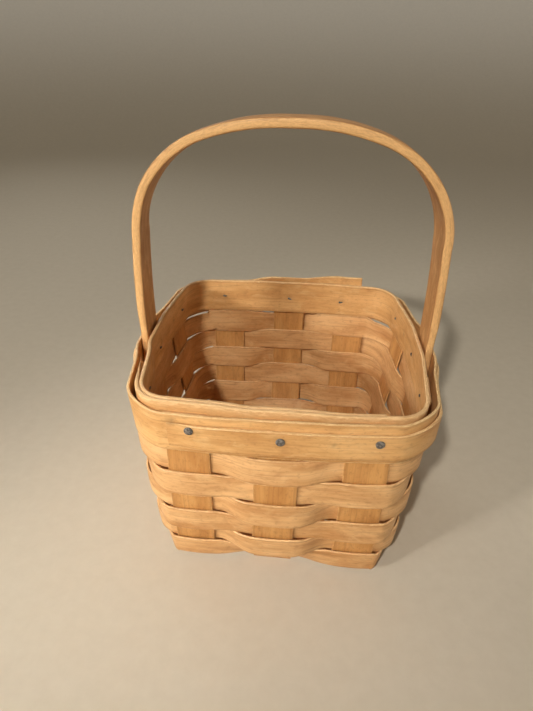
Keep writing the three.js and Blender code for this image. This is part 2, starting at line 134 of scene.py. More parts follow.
# Degrees that the handle is out of true, at shares of its length
HANDLE_TWIST = ((0, -0.5), (0.13, -1), (0.19, -2.5), (0.27, 2), (0.38, 3.8), (0.45, 3), (0.5, 2.5),
                (0.66, 2), (0.8, 4), (0.87, 1), (1, 0.5))

# Nails: where they go in, the rises and radii of the head, and the clinched point
SHANK_RADIUS = 0.6
SHANK_SIDES = 16
NAIL_HEIGHT = 0.65
HEAD_RINGS = ((0, 1.8), (0.12, 1.95), (0.28, 1.93), (0.2, 1.7), (0.1, 1.25), (0.04, 0.6))
CLINCH_TURNS = 4
CLINCH_ANGLE = -22
CLINCH_FLATTENED = 0.45
POINT_TAPERS = ((0.5, 0.8), (0.5, 0.75), (0.35, 0.5))

# Stains: the dark bloom round each nail and the grey smudge beside the first
BLOOM_SIZE, BLOOM_STRENGTH = 3.4, 0.45
SMUDGE_SIZE, SMUDGE_STRENGTH = 3.4, 0.62

# How strips swing between stakes and round the corners
SWING = 0.4
INNER_FULLNESS = 0.62
OUTER_FULLNESS = 0.42
WEAVER_FULLNESS = 0.46
PLATEAU_MARGIN = 0.6

# How far apart the strips and the nails stay
CLEARANCE = 0.3
SNUG = 0.12
NAIL_FIT = 0.15
FOOT_CLEARANCE = 0.1

# How the base sits askew under the rim, in mm and in mm for each mm to the right
ASKEW_ASIDE, ASKEW_ASIDE_RIGHT = -1.2, 0.035
ASKEW_FORWARD, ASKEW_FORWARD_RIGHT = -1.6, -0.03
ASKEW_DEPTH, ASKEW_MOST = 100, 1.1

# How a strip's edge ruffles, and how the strip wanders and waves along its length
RUFFLE_SPAN, WANDER_SPAN, WAVE_SPAN = 11, 60, 45
DRIFT_GAIN = 1.6
OTHER_EDGE = 500

# Sizes that follow from the values above
SPACING = STAKE_WIDTH + STAKE_GAP
FILLER_WIDTH = STAKE_GAP - 2 * BASE_SPLINT_GAP
BASE_HALF = SPACING + STAKE_WIDTH / 2 + BASE_MARGIN
UNDER_LEVEL = STAKE_THICKNESS / 2
OVER_LEVEL = UNDER_LEVEL + STAKE_THICKNESS + CLEARANCE
ROW_START = OVER_LEVEL + BASE_BEND + FOOT_CLEARANCE
ROW_PITCH = WEAVER_WIDTH + ROW_GAP
BACKING_BOTTOM = ROW_START + ROW_COUNT * ROW_PITCH - ROW_GAP + CLEARANCE
INNER_BOTTOM = BACKING_BOTTOM + INNER_RAISE
INNER_TOP = INNER_BOTTOM + INNER_HEIGHT
OUTER_BOTTOM = BACKING_BOTTOM + OUTER_RAISE
NAIL_LEVEL = OUTER_BOTTOM + NAIL_HEIGHT * OUTER_HEIGHT
STAKE_TOP = BACKING_BOTTOM + BACKING_HEIGHT - STAKE_TOP_SETBACK
WEAVER_OFFSET = STAKE_THICKNESS / 2 + SNUG + WEAVER_THICKNESS / 2
INNER_OFFSET = STAKE_THICKNESS / 2 + SNUG + INNER_THICKNESS / 2
BACKING_OFFSET = STAKE_THICKNESS / 2 + CLEARANCE + BACKING_THICKNESS / 2
OUTER_OFFSET = BACKING_OFFSET + BACKING_THICKNESS / 2 + CLEARANCE + OUTER_THICKNESS / 2
LEG_OFFSET = STAKE_THICKNESS / 2 + CLEARANCE + HANDLE_THICKNESS / 2
ACROSS_STAKE = STAKE_WIDTH / 2 + PLATEAU_MARGIN
ACROSS_HANDLE = HANDLE_WIDTH / 2 + PLATEAU_MARGIN

WALLS = [
    dict(name="front", out=TO_FRONT, along=TO_RIGHT, **FRONT_BACK),
    dict(name="right", out=TO_RIGHT, along=-TO_FRONT, **SIDES),
    dict(name="back", out=-TO_FRONT, along=-TO_RIGHT, **FRONT_BACK),
    dict(name="left", out=-TO_RIGHT, along=TO_FRONT, **SIDES),
]
SLOTS = (-1, 0, 1)
SLOT_NAMES = ("first", "middle", "last")
STAKE_COUNT = 12
NAIL_SHIFT = dict(front=(2.1, 1.3, 3), right=(5, 3.5, 4), back=(6.8, 0.4, 2.8), left=(-2, 1, 1.5))
NAIL_LIFT = dict(front=(2.2, 0, 0.8), right=(0.5, 0.9, 1.4), back=(-0.3, 0.6, 1),
                 left=(1.2, -0.6, 0.4))

# At each stake: how far the inner band is off its level, how far the outer strips stand off
# the stake, and by how many degrees they lean out
RIM_LIFT = (1.2, 0, -0.9, -0.9, -0.5, -0.6, -0.7, -0.7, -0.7, -0.3, 0, 0.8)
STAND_OFF = {3: 1.7, 5: 1.6, 9: 1.2, 11: 0.7}
BAND_LEAN = {9: 2, 11: 5, 0: 4, 1: 1.5, 2: 1, 3: 2}

# The stakes, counted from the front's left one, that the two ends of a strip lap over
INNER_LAP_STAKES = (11, 0, 1, 2)
BACKING_LAP_STAKES = (6, 7)
FIRST_WEAVER_STAKE = 6

# The camera: degrees round, up and rolled, what it looks at, how far off, and its lens
CAMERA_ROUND, CAMERA_UP, CAMERA_ROLL = 3.7318, 31.6145, 1.0503
CAMERA_TARGET = Vector((-11.6817, 33.9739, 67.8889))
CAMERA_DISTANCE = 310.198
FOCAL_PIXELS, PHOTO_PIXELS_WIDE, SENSOR_WIDTH = 518.09, 533, 36

# The floor, in metres, and the lamps' colours
FLOOR_FLAT, COVE_RADIUS, WALL_TOP, FLOOR_DROP = 1.1, 0.8, 2.1, 0.0002
COVE_STEPS, FLOOR_SIDES = 12, 48
WARM, COOL, SKY = (1.0, 0.98, 0.96), (0.98, 0.99, 1.0), (0.97, 0.98, 1.0)


# Finishes

def srgb(red, green, blue):
    """A colour as it looks on a swatch, 0 to 255, in the linear values that shaders take."""
    return tuple(((c / 255 + 0.055) / 1.055) ** 2.4 for c in (red, green, blue)) + (1,)


class Finish:
    """One material, and short ways to wire its nodes."""

    def __init__(self, name):
        self.material = bpy.data.materials.new(name)
        self.material.use_nodes = True
        self.tree = self.material.node_tree
        self.shader = self.tree.nodes["Principled BSDF"]

    def node(self, kind, inputs=None, **settings):
        """A node with its settings, its inputs fed with values or with other nodes."""
        made = self.tree.nodes.new(kind)
        for key, value in settings.items():
            setattr(made, key, value)
        for key, value in (inputs or {}).items():
            self.feed(made.inputs[key], value)
        return made

    def feed(self, socket, value):
        """Links a node to a socket, or sets the socket's value."""
        if isinstance(value, bpy.types.NodeSocket):
            self.tree.links.new(value, socket)
        else:
            socket.default_value = value

    def calc(self, operation, a, b=0.0):
        """A sum with one or two values."""
        return self.node("ShaderNodeMath", {0: a, 1: b}, operation=operation).outputs[0]

    def ease(self, value, low, high, to_low=0.0, to_high=1.0):
        """Takes a value between two limits smoothly to two others."""
        made = self.node("ShaderNodeMapRange", {0: value, 1: low, 2: high, 3: to_low, 4: to_high},
                         interpolation_type="SMOOTHSTEP")
        return made.outputs[0]

    def speckle(self, where, stretch, detail=2.0, roughness=0.5, distortion=0.0):
        """Noise, with its grains stretched by so many per metre each way."""
        scaled = self.node("ShaderNodeVectorMath", {0: where, 1: stretch}, operation="MULTIPLY")
        made = self.node("ShaderNodeTexNoise", {
            "Vector": scaled.outputs[0], "Scale": 1.0, "Detail": detail,
            "Roughness": roughness, "Distortion": distortion})
        return made.outputs[0]

    def blend(self, much, first, second):
        """One colour with so much of a second in it."""
        made = self.node("ShaderNodeMix", {0: much, 6: first, 7: second}, data_type="RGBA")
        return made.outputs[2]

    def tint(self, colour, where, much, other):
        """A colour with so much of another where a pattern lies."""
        return self.blend(self.calc("MULTIPLY", where, much), colour, other)

    def bump(self, height, strength, distance):
        """Lets a pattern catch the light as fine relief."""
        made = self.node("ShaderNodeBump", {"Height": height, "Strength": strength,
                                            "Distance": distance})
        self.tree.links.new(made.outputs[0], self.shader.inputs["Normal"])


def maple(name, pale, mellow, deep, wear_and_highlight, figure_and_sheen=0.5, streaks=0.4, edge_flecks=0.0):
    """Honey-stained maple splint: cloudy tone, pale patches in part painted sheen, long soft
    streaks, pale rubbed tops, and pale worn edges that also carry a painted highlight.
    """
    f = Finish(name)
    grain = f.node("ShaderNodeUVMap", uv_map="grain").outputs[0]
    across = f.node("ShaderNodeUVMap", uv_map="across").outputs[0]
    stain = f.node("ShaderNodeAttribute", attribute_name="stain").outputs["Fac"]
    rub = f.node("ShaderNodeAttribute", attribute_name="rub").outputs["Fac"]
    tone = f.speckle(grain, (20, 95, 1), 3, 0.6)
    cloud = f.speckle(grain, (75, 190, 1), 3, 0.6, 0.8)
    mottle = f.speckle(grain, (380, 700, 1), 2, 0.6)
    streak = f.speckle(grain, (24, 1000, 1), 2, 0.55, 0.3)
    fine = f.speckle(grain, (60, 3200, 1), 3, 0.65)
    colour = f.blend(f.ease(tone, 0.3, 0.7), mellow, pale)
    colour = f.tint(colour, f.ease(cloud, 0.5, 0.78), figure_and_sheen, deep)
    # Pale cloudy patches: partly the figure of the wood, and partly a painted sheen.
    colour = f.tint(colour, f.ease(cloud, 0.48, 0.25), figure_and_sheen, wear_and_highlight)
    colour = f.tint(colour, f.ease(streak, 0.5, 0.72), streaks, deep)
    colour = f.tint(colour, f.ease(mottle, 0.52, 0.75), 0.3, deep)
    colour = f.tint(colour, f.ease(fine, 0.5, 0.75), 0.22, deep)
    edge = f.calc("ABSOLUTE", f.node("ShaderNodeSeparateXYZ", {0: across}).outputs[1])
    ragged = f.calc("ADD", edge, f.calc("MULTIPLY", f.calc("SUBTRACT", cloud, 0.5), 0.2))
    colour = f.tint(colour, f.ease(ragged, 0.8, 0.93), 0.22, deep)
    # The pale line along both long edges is partly wear and partly a painted highlight where light
    # catches the edges; it is broken along its length.
    broken = f.ease(mottle, 0.4, 0.62, 0.85, 0.65 if edge_flecks else 0.3)
    colour = f.tint(colour, f.ease(ragged, 0.94, 1.0), broken, wear_and_highlight)
    if edge_flecks:
        short = f.speckle(grain, (700, 520, 1), 2, 0.6)
        on_edge = f.calc("MULTIPLY", f.ease(edge, 0.97, 0.995), edge_flecks)
        colour = f.tint(colour, f.ease(short, 0.47, 0.62), on_edge, deep)
        colour = f.tint(colour, f.ease(short, 0.45, 0.32), on_edge, wear_and_highlight)
    fibres = f.speckle(grain, (260, 900, 1), 3, 0.65, 0.5)
    sanded = f.blend(f.ease(fibres, 0.35, 0.68), srgb(214, 166, 110), srgb(238, 198, 142))
    colour = f.blend(rub, colour, sanded)
    colour = f.blend(f.ease(stain, 0.0, 1.0), colour, srgb(98, 62, 34))
    f.feed(f.shader.inputs["Base Color"], colour)
    rough = f.calc("ADD", f.ease(cloud, 0.3, 0.7, 0.44, 0.58), f.calc("MULTIPLY", fine, 0.1))
    f.feed(f.shader.inputs["Roughness"], rough)
    f.shader.inputs["Specular IOR Level"].default_value = 0.4
    f.shader.inputs["Coat Weight"].default_value = 0.08
    f.shader.inputs["Coat Roughness"].default_value = 0.4
    height = f.calc("ADD", f.calc("MULTIPLY", fine, 0.5), f.calc("MULTIPLY", mottle, 0.8))
    height = f.calc("ADD", height, f.calc("MULTIPLY", streak, 0.6))
    f.bump(height, 0.5, 0.0003)
    return f.material


def tarnished_steel(name):
    """Dull dark steel: a hammered face with lighter dents and small brown spots."""
    f = Finish(name)
    where = f.node("ShaderNodeTexCoord").outputs["Object"]
    dents = f.speckle(where, (900, 900, 900), 2, 0.5)
    specks = f.speckle(where, (2600, 2600, 2600), 3, 0.6)
    colour = f.blend(f.ease(dents, 0.4, 0.65), srgb(88, 82, 76), srgb(138, 131, 122))
    colour = f.tint(colour, f.ease(specks, 0.55, 0.7), 0.6, srgb(92, 64, 44))
    f.feed(f.shader.inputs["Base Color"], colour)
    f.shader.inputs["Metallic"].default_value = 0.15
    f.feed(f.shader.inputs["Roughness"], f.ease(specks, 0.35, 0.7, 0.5, 0.68))
    f.bump(f.calc("ADD", dents, f.calc("MULTIPLY", specks, 0.3)), 0.4, 0.00015)
    return f.material


WOODS = {
    "stake_wood": maple(
        "stake_maple", pale=srgb(215, 159, 93), mellow=srgb(188, 130, 68), deep=srgb(139, 86, 40),
        wear_and_highlight=srgb(217, 169, 108), figure_and_sheen=0.34, streaks=0.26),
    "weaver_wood": maple(
        "weaver_maple", pale=srgb(230, 182, 124), mellow=srgb(198, 142, 84), deep=srgb(152, 97, 49),
        wear_and_highlight=srgb(238, 198, 142), figure_and_sheen=0.42, streaks=0.28),
    "band_wood": maple(
        "band_maple", pale=srgb(232, 182, 118), mellow=srgb(205, 150, 87), deep=srgb(156, 101, 51),
        wear_and_highlight=srgb(242, 209, 152), figure_and_sheen=0.34, streaks=0.26),
    "handle_wood": maple(
        "handle_maple", pale=srgb(206, 152, 94), mellow=srgb(186, 132, 76), deep=srgb(150, 92, 42),
        wear_and_highlight=srgb(244, 194, 128), figure_and_sheen=0.45, streaks=0.3, edge_flecks=0.12),
}
STEEL = tarnished_steel("tarnished_steel")


# Where things lie

def share(value):
    """Keeps a value between 0 and 1."""
    return min(max(value, 0), 1)


def smooth(t):
    """Eases from 0 to 1, level at both ends."""
    return t * t * (3 - 2 * t)


def stake_frame(wall, slot, z):
    """A stake's middle plane at a height: centre, way out, way along the wall, distance."""
    t = share(z / BACKING_BOTTOM)
    outer = abs(slot)
    belly = wall["belly"][outer] * 4 * t * (1 - t)
    distance = BASE_HALF + wall["flare"] * t ** wall["curve"] + belly - outer * wall["drop"] * t
    turn = Matrix.Rotation(slot * wall["twist"] * t, 3, "Z")
    centre = wall["out"] * distance + wall["along"] * (slot * SPACING)
    centre.z = z
    return dict(centre=centre, distance=distance,
                out=turn @ wall["out"], along=turn @ wall["along"])


def pass_frame(wall, slot, low, high, outside):
    """Where a weaver that leans with the wall, or partly so, just clears a stake."""
    samples = 8
    heights = [low + (high - low) * i / samples for i in range(samples + 1)]
    middle = heights[samples // 2]
    distances = [stake_frame(wall, slot, z)["distance"] for z in heights]
    stake_slope = (distances[-1] - distances[0]) / (high - low)
    slope = stake_slope * (LEAN_OUTSIDE if outside else LEAN_INSIDE)
    levelled = [d - (z - middle) * slope for d, z in zip(distances, heights)]
    distance = max(levelled) if outside else min(levelled)
    place = stake_frame(wall, slot, middle)
    place["centre"] += wall["out"] * (distance - place["distance"])
    place["lean"] = math.atan(slope)
    place["clear"] = WEAVER_OFFSET / math.cos(math.atan(stake_slope))
    return place


def rim_frame(wall, slot):
    """A stake's place where the rim's strips begin."""
    return stake_frame(wall, slot, BACKING_BOTTOM)


def stake_at(number):
    """The wall, the place on it and the number of a stake, counted on round the basket."""
    n = number % STAKE_COUNT
    return WALLS[n // 3], SLOTS[n % 3], n


def is_leg_stop(wall, slot):
    """Whether the handle's leg goes down at this stake."""
    return slot == 0 and wall["out"].x != 0


def bridge(start, start_way, end, end_way, count, reach):
    """Points strictly between two straight stretches, on a curve that joins them smoothly."""
    a, d = start, end
    b = start + start_way * reach[0]
    c = end - end_way * reach[1]
    points = []
    for i in range(count):
        t = (i + 1) / (count + 1)
        s = 1 - t
        points.append(a * s ** 3 + b * (3 * s * s * t) + c * (3 * s * t * t) + d * t ** 3)
    return points


def corner_reach(start, start_way, end, end_way, fullness):
    """How far the curve of a corner is drawn towards the point where its two sides meet."""
    gap = end - start
    cross = start_way.x * end_way.y - start_way.y * end_way.x
    first = (gap.x * end_way.y - gap.y * end_way.x) / cross
    second = (gap.x * start_way.y - gap.y * start_way.x) / cross
    return abs(first) * fullness, abs(second) * fullness


def width_way(out, lean, spread):
    """The way a strip's width lies where it leans outwards, longer where it spreads."""
    return (UP * math.cos(lean) + out * math.sin(lean)) * (spread / math.cos(lean))


def ring_way(stops, fullness, between=10, corner=18, straight=8):
    """Lays a strip round the basket: straight or bowed across each stop, curved between them.

    A stop may be wider and higher than the strip itself, and its "reach" says over what share
    of the way to the next stop that fades.
    """
    points, widths = [], []
    last = None
    for stop in stops:
        place, wall, z = stop["place"], stop["wall"], stop["z"]
        out, along = place["out"], place["along"]
        lean, bow = stop.get("lean", 0), stop.get("bow", 0)
        spread, rise = stop.get("spread", 0), stop.get("rise", 0)

        def spot(x):
            height = bow * (1 - (x / ACROSS_STAKE) ** 2)
            point = place["centre"] + out * (stop["offset"] + height)
            point.z = z + rise
            return point + along * x

        def heading(x):
            return (along - out * (2 * bow * x / ACROSS_STAKE ** 2)).normalized()

        low, high = stop["run"]
        start = spot(low)
        if last:
            turns = last["wall"] is not wall
            if turns:
                reach = corner_reach(last["end"], last["way"], start, heading(low), fullness)
            else:
                reach = [(start - last["end"]).length * SWING] * 2
            count = corner if turns else between
            shortened = turns and stop.get("corner_run")
            curve = bridge(last["end"], last["way"], start, heading(low), count, reach)
            for i, point in enumerate(curve):
                t = (i + 1) / (count + 1)
                leaving = max(0, 1 - t / (shortened or last["reach"]))
                meeting = max(0, 1 - (1 - t) / (shortened or stop.get("reach", 1)))
                eased = smooth(t)
                upright = 1 - 4 * LEAN_LOST_AT_CORNER * t * (1 - t) if turns else 1
                lean_here = (last["lean"] + (lean - last["lean"]) * eased) * upright
                point.z = last["z"] + (z - last["z"]) * eased
                point.z += last["rise"] * leaving + rise * meeting
                points.append(point)
                facing = last["out"].lerp(out, t).normalized()
                wider = 1 + last["spread"] * leaving + spread * meeting
                widths.append(width_way(facing, lean_here, wider))
        for i in range(straight + 1):
            points.append(spot(low + (high - low) * i / straight))
            widths.append(width_way(out, lean, 1 + spread))
        last = dict(end=spot(high), way=heading(high), out=out, wall=wall, z=z, lean=lean,
                    spread=spread, rise=rise, reach=stop.get("reach", 1))
    return Way(points, widths)


class Way:
    """The line that a strip is bent along, with the way its width lies."""

    def __init__(self, points, widths):
        self.points = points
        self.lengths = [0.0]
        for a, b in zip(points, points[1:]):
            self.lengths.append(self.lengths[-1] + (b - a).length)
        self.frames = []
        for i, width in enumerate(widths):
            before, after = points[max(i - 1, 0)], points[min(i + 1, len(points) - 1)]
            here = points[i]
            into = (here - before).normalized() if i else Vector()
            away = (after - here).normalized() if i < len(points) - 1 else Vector()
            along = (into + away).normalized()
            side = (width - along * width.dot(along)).normalized() * width.length
            self.frames.append((here, side, side.cross(along).normalized()))

    def at(self, s):
        """The point, the way across and the way in at a length along the line."""
        lengths = self.lengths
        low, high = 0, len(lengths) - 1
        while high - low > 1:
            mid = (low + high) // 2
            low, high = (mid, high) if lengths[mid] <= s else (low, mid)
        t = (s - lengths[low]) / (lengths[high] - lengths[low])
        a, b = self.frames[low], self.frames[high]
        return [a[i].lerp(b[i], t) for i in range(3)]


# How strips are made

def drift(s, seed, span):
    """A slow wander between about -1 and 1 along a strip."""
    return noise.noise(Vector((s / span, seed * 3.71, seed * 1.37))) * DRIFT_GAIN


def across_rows(width, edge=0.9, count=5):
    """Where the lines along a strip lie: one near each edge, and the rest evenly between."""
    inner = width / 2 - edge
    middle = [-inner + 2 * inner * i / count for i in range(count + 1)]
    return [-width / 2] + middle + [width / 2]


def cut_strip(lengths, width, thickness, edge, rows=5):
    """A flat strip at its real size, its long edges rounded: x along, y across, z through."""
    bm = bmesh.new()
    lines = across_rows(width, count=rows)
    n, m = len(lengths) - 1, len(lines) - 1
    bmesh.ops.create_grid(bm, x_segments=n, y_segments=m, size=0.5)
    for v in bm.verts:
        column, line = round((v.co.x + 0.5) * n), round((v.co.y + 0.5) * m)
        v.co = (lengths[column], lines[line], -thickness / 2)
    grown = bmesh.ops.extrude_face_region(bm, geom=bm.faces[:])
    top = [g for g in grown["geom"] if isinstance(g, bmesh.types.BMVert)]
    bmesh.ops.translate(bm, verts=top, vec=(0, 0, thickness))
    bmesh.ops.recalc_face_normals(bm, faces=bm.faces[:])
    sharp = [e for e in bm.edges if e.calc_face_angle(0.0) > 1.0]
    bmesh.ops.bevel(bm, geom=sharp, offset=edge, offset_type="OFFSET", affect="EDGES",
                    segments=2, profile=0.5, material=-1, clamp_overlap=True)
    return bm


def askew(point):
    """The base sits a little askew under the rim: it comes forward, most of all at the right."""
    down = share(1 - point.z / BACKING_BOTTOM)
    much = down * min(max(0.5 - point.y / ASKEW_DEPTH, 0), ASKEW_MOST)
    aside = ASKEW_ASIDE_RIGHT * max(point.x, 0) + ASKEW_ASIDE
    forward = ASKEW_FORWARD + ASKEW_FORWARD_RIGHT * point.x
    return point + Vector((aside, forward, 0)) * much


def bent_strip(name, way, width, thickness, seed, slot, edge=0.28, rows=5, wander=0.08,
               ruffle=0.1, cup=0.0, shape=None, stain=None, rubbed=None):
    """Cuts a strip, marks the run of its grain, bends it along its way and makes it a piece."""
    bm = cut_strip(way.lengths, width, thickness, edge, rows=rows)
    grain = bm.loops.layers.uv.new("grain")
    across = bm.loops.layers.uv.new("across")
    half = width / 2
    for face in bm.faces:
        for loop in face.loops:
            s, y, z = loop.vert.co
            layer = (seed * 0.173 + z * 0.004) % 1.0
            loop[grain].uv = (s * MM + seed * 0.61, y * MM + layer)
            loop[across].uv = (s * MM, y / half)
    rub = bm.verts.layers.float.new("rub")
    for v in bm.verts:
        s, y, z = v.co
        if rubbed:
            v[rub] = rubbed(s, y, z)
        place, side, inward = way.at(s)
        y *= 1 + ruffle / half * drift(s + (OTHER_EDGE if y > 0 else 0), seed, RUFFLE_SPAN)
        y += wander * drift(s, seed + 9, WANDER_SPAN)
        z += wander * drift(s, seed + 17, WAVE_SPAN) - cup * (1 - (y / half) ** 2)
        if shape:
            y, z = shape(s, y, z)
        v.co = askew(place + side * y + inward * z) * MM
    bmesh.ops.recalc_face_normals(bm, faces=bm.faces[:])
    finish_piece(name, bm, WOODS[slot], (name,), stain)


def finish_piece(name, bm, material, nodes, stain=None):
    """Turns a finished form into a piece of the basket that stands for its own nodes."""
    mesh = bpy.data.meshes.new(name)
    for face in bm.faces:
        face.smooth = True
    if bm.calc_volume(signed=True) < 0:
        bmesh.ops.reverse_faces(bm, faces=bm.faces[:])
    bm.to_mesh(mesh)
    bm.free()
    mesh.materials.append(material)
    if material is not STEEL:
        marks = mesh.attributes.new("stain", "FLOAT", "POINT")
        values = [stain(v.co / MM) if stain else 0.0 for v in mesh.vertices]
        marks.data.foreach_set("value", values)
    piece = bpy.data.objects.new("dressed_" + name, mesh)
    bpy.context.scene.collection.objects.link(piece)
    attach(piece, "root")
    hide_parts(*nodes)


# Weavers

def weaver_way(row):
    """A row's line: outside every second stake, lapping over its first stake at its end."""
    low = ROW_START + row * ROW_PITCH
    high = low + WEAVER_WIDTH
    parity = (row + ROW_COUNT) % 2
    is_top = row == ROW_COUNT - 1
    stops = []
    for i in range(STAKE_COUNT + 1):
        wall, slot, number = stake_at(FIRST_WEAVER_STAKE + parity + i)
        outside = number % 2 == parity
        side = wall["name"]
        below = above = PASS_SPREAD[side]
        reach = SPREAD_RUN[side]
        if row == 0:
            below = FIRST_ROW_BELOW[side]
        if row == 1 and outside:
            below = SECOND_ROW_BELOW
        if is_top and outside:
            above = TOP_ROW_ABOVE[side]
        if is_top and not outside:
            below, above, reach = (TOP_ROW_INSIDE[key] for key in ("below", "above", "run"))
        opens = side == "left" or is_top
        place = pass_frame(wall, slot, low - below, high + above, outside)
        lap = WEAVER_THICKNESS + SNUG if i == STAKE_COUNT else 0
        level = (low + high) / 2 + (-PASS_RISE if outside else PASS_RISE)
        stops.append(dict(
            wall=wall, place=place, z=level, lean=place["lean"],
            offset=place["clear"] + lap if outside else -place["clear"],
            bow=PASS_BOW if outside else 0, reach=reach,
            spread=(below + above) / WEAVER_WIDTH, rise=(above - below) / 2,
            corner_run=OPEN_CORNER_RUN.get(side) if opens else None,
            run=(-WEAVER_END_UNDER if i == 0 else -ACROSS_STAKE,
                 WEAVER_END_OVER if i == STAKE_COUNT else ACROSS_STAKE)))
    return ring_way(stops, WEAVER_FULLNESS)


for row in range(ROW_COUNT):
    bent_strip(f"weaver_row_{row + 1}", weaver_way(row), WEAVER_WIDTH, WEAVER_THICKNESS,
               seed=row + 1, slot="weaver_wood", cup=0.12)


# The base and the stakes

def crossings():
    """The splints that one crosses under the base: number, place and half its width."""
    for index in (-2, -1, 0, 1, 2):
        width = FILLER_WIDTH if index % 2 else STAKE_WIDTH
        yield index, index * SPACING / 2, width / 2


def base_points(index, sideways, overhang=0.0):
    """A base splint's line: level across each splint it crosses, easing up or down between."""
    ends = []
    for other, at, half in crossings():
        level = OVER_LEVEL if ((index + other) % 2 == 0) == sideways else UNDER_LEVEL
        ends.append((at - half - LEVEL_EASE, level))
        ends.append((at + half + LEVEL_EASE, level))
    if overhang:
        ends.insert(0, (ends[0][0] - overhang, ends[0][1] + FILLER_CURL))
        ends.append((ends[-1][0] + overhang, ends[-1][1] + FILLER_CURL))
    line = []
    for (a, low), (b, high) in zip(ends, ends[1:]):
        steps = 6 if low == high else 4
        for i in range(steps):
            t = i / steps
            line.append((a + (b - a) * t, low + (high - low) * smooth(t)))
    line.append(ends[-1])
    offset = index * SPACING / 2
    return [Vector((a, offset, z)) if sideways else Vector((offset, a, z)) for a, z in line]


def wall_frames(wall, slot, foot, count=52):
    """A stake's places from its foot up to its top."""
    low = foot + BASE_BEND
    return [stake_frame(wall, slot, low + (STAKE_TOP - low) * i / count) for i in range(count + 1)]


def foot_bend(wall_point, base_point, level, count=7):
    """The round foot between a wall and the base, from the base up to the wall."""
    corner = Vector((wall_point.x, wall_point.y, level))
    inward = (base_point - corner).normalized() * BASE_BEND
    points = []
    for i in range(count):
        t = i / count
        low, high = (corner + inward) * (1 - t) ** 2, wall_point * t * t
        points.append(low + corner * (2 * t * (1 - t)) + high)
    return points


def stake_way(index, sideways):
    """A stake's line: down one wall, under the base and up the wall across from it."""
    foot = OVER_LEVEL if sideways else UNDER_LEVEL
    start_wall, end_wall = (WALLS[3], WALLS[1]) if sideways else (WALLS[0], WALLS[2])
    across = TO_FRONT if sideways else TO_RIGHT
    start_slot = (-index if sideways else index) // 2
    end_slot = (index if sideways else -index) // 2
    down = wall_frames(start_wall, start_slot, foot)[::-1]
    up = wall_frames(end_wall, end_slot, foot)
    base = base_points(index, sideways)
    points, widths = [], []

    def add(point, width):
        points.append(point)
        widths.append(width if width.dot(across) > 0 else -width)

    for place in down:
        add(place["centre"], place["along"])
    for point in foot_bend(down[-1]["centre"], base[0], foot)[::-1] + base:
        add(point, across)
    for point in foot_bend(up[0]["centre"], base[-1], foot):
        add(point, across)
    for place in up:
        add(place["centre"], place["along"])
    return Way(points, widths)


def rubbed_tops(length):
    """The last few millimetres at both ends of a stake, sanded pale with the rim."""
    def rubbed(s, y, z):
        return share((STAKE_TOP_RUBBED - min(s, length - s)) / STAKE_TOP_RUB_FADE) * STAKE_TOP_RUB
    return rubbed


for order, (index, name) in enumerate(((-2, "first"), (0, "middle"), (2, "last"))):
    for sideways, run in ((False, "front_back"), (True, "side_side")):
        line = stake_way(index, sideways)
        bent_strip(f"stake_{run}_{name}", line, STAKE_WIDTH, STAKE_THICKNESS,
                   seed=21 + order + 4 * sideways, slot="stake_wood", rows=6, wander=0.05,
                   ruffle=0.12, rubbed=rubbed_tops(line.lengths[-1]))

FILLERS = ((-1, False, "front_back_left"), (1, False, "front_back_right"),
           (-1, True, "side_side_front"), (1, True, "side_side_back"))

for seed, (index, sideways, name) in enumerate(FILLERS, start=31):
    line = base_points(index, sideways, FILLER_OVERHANG)
    level_width = TO_FRONT if sideways else TO_RIGHT
    bent_strip(f"base_filler_{name}", Way(line, [level_width] * len(line)), FILLER_WIDTH,
               STAKE_THICKNESS, seed=seed, slot="stake_wood", wander=0.05)


# Rim bands

def inner_way():
    """The inner band's line, once round and on over its own start."""
    z = INNER_BOTTOM + INNER_HEIGHT / 2
    last = STAKE_COUNT + len(INNER_LAP_STAKES) - 1
    stops = []
    for i in range(last + 1):
        wall, slot, number = stake_at(INNER_LAP_STAKES[0] + i)
        lap = INNER_THICKNESS + SNUG if i >= STAKE_COUNT else 0
        start = -INNER_START_UNDER if i == 0 else -ACROSS_STAKE
        end = INNER_END_OVER if i == last else ACROSS_STAKE
        stops.append(dict(wall=wall, place=rim_frame(wall, slot), z=z + RIM_LIFT[number],
                          offset=-INNER_OFFSET - lap, run=(start, end)))
    return ring_way(stops, INNER_FULLNESS)


def backing_extra(number, layer):
    """How much further out a strip lies at a stake, for the handle's leg, a gap or a lap."""
    wall, slot, n = stake_at(number)
    leg = HANDLE_THICKNESS + CLEARANCE if is_leg_stop(wall, slot) else STAND_OFF.get(n, 0)
    return leg + layer * (BACKING_THICKNESS + CLEARANCE)


def backing_way():
    """The backing strip's line, with its free end outside at the back and standing higher."""
    laps = len(BACKING_LAP_STAKES)
    stops = []
    for i in range(STAKE_COUNT + laps):
        number = BACKING_LAP_STAKES[0] + i
        wall, slot, n = stake_at(number)
        layer = 1 if i < laps else 0
        lift = BACKING_END_LIFT * max(0, 1 - i / BACKING_LIFT_STAKES)
        half = ACROSS_HANDLE if is_leg_stop(wall, slot) else ACROSS_STAKE
        start = -BACKING_END_OVER if i == 0 else -half
        end = BACKING_END_UNDER if i == STAKE_COUNT + laps - 1 else half
        offset = BACKING_OFFSET + backing_extra(number, layer)
        z = BACKING_BOTTOM + BACKING_HEIGHT / 2 + lift / 2
        stops.append(dict(wall=wall, place=rim_frame(wall, slot), z=z, offset=offset,
                          run=(start, end), spread=lift / BACKING_HEIGHT,
                          lean=math.radians(BAND_LEAN.get(n, 0))))
    return ring_way(stops, OUTER_FULLNESS)


